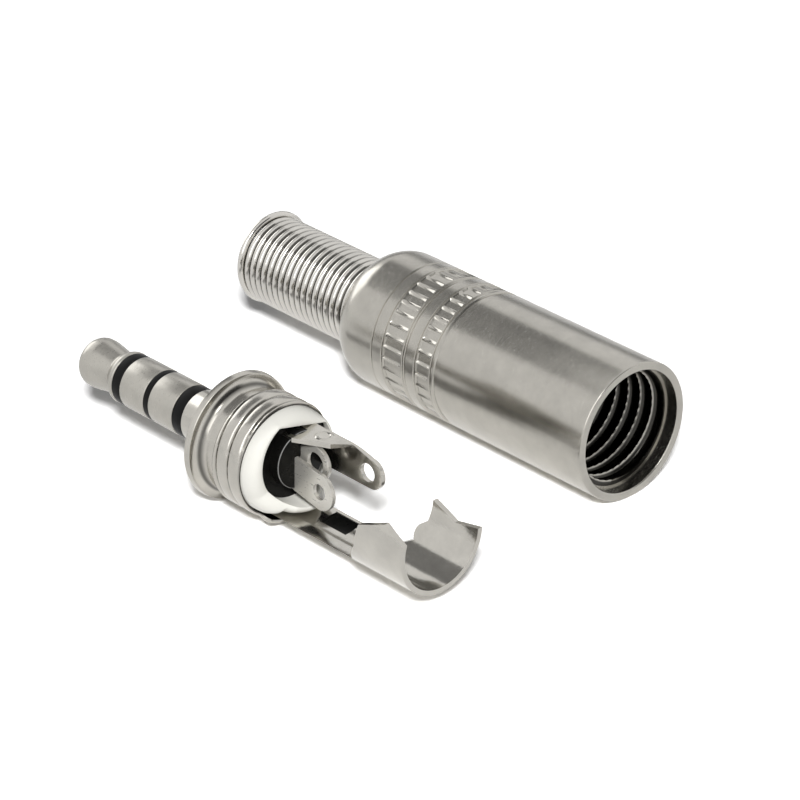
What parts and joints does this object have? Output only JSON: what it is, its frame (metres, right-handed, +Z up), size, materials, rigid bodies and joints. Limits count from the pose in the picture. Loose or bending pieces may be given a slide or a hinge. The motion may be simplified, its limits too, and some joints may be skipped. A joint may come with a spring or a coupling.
{
  "type": "audio jack plug",
  "caption": "Solder-type audio jack plug with banded round pin, pierced lugs and crimp clamp; its screw-on barrel cover with coil spring bend relief lies unscrewed beside it.",
  "frame": {"origin": "centre of the flange's front face, on the axis of the pin", "axes": "+X along the pin's axis from the tip towards the solder lugs, +Y from the plug towards the cover that lies beside it, +Z up from the surface both lie on"},
  "size_m": [0.0359, 0.0271, 0.0094],
  "materials": {
    "nickel_contacts": "turned and nickel-plated, satin",
    "black_bands": "smooth, black",
    "nickel_body": "turned and nickel-plated, satin",
    "white_plastic": "moulded, white",
    "black_plastic": "moulded, black",
    "nickel_sheet": "stamped sheet, nickel-plated, bright",
    "nickel_cover": "nickel-plated, finely brushed round the barrel",
    "nickel_wire": "nickel-plated wire, bright"
  },
  "bodies": {
    "plug": {"tip_contact": "nickel_contacts", "ring_1_contact": "nickel_contacts", "ring_2_contact": "nickel_contacts", "band_1_insulator": "black_bands", "band_2_insulator": "black_bands", "band_3_insulator": "black_bands", "sleeve_body": "nickel_body", "white_insulator": "white_plastic", "filler_insulator": "black_plastic", "core_insulator": "black_plastic", "upper_lug": "nickel_sheet", "middle_lug": "nickel_sheet", "lower_lug": "nickel_sheet", "cable_clamp": "nickel_sheet", "cover": "nickel_cover"},
    "spring": {"bend_relief_spring": "nickel_wire"}
  },
  "joints": [
    {"name": "spring_swivel", "type": "hinge", "parent": "plug", "child": "spring", "pos_m": [-0.00634, 0.01809, 0.0004], "axis": [1, 0, 0], "continuous": true}
  ]
}
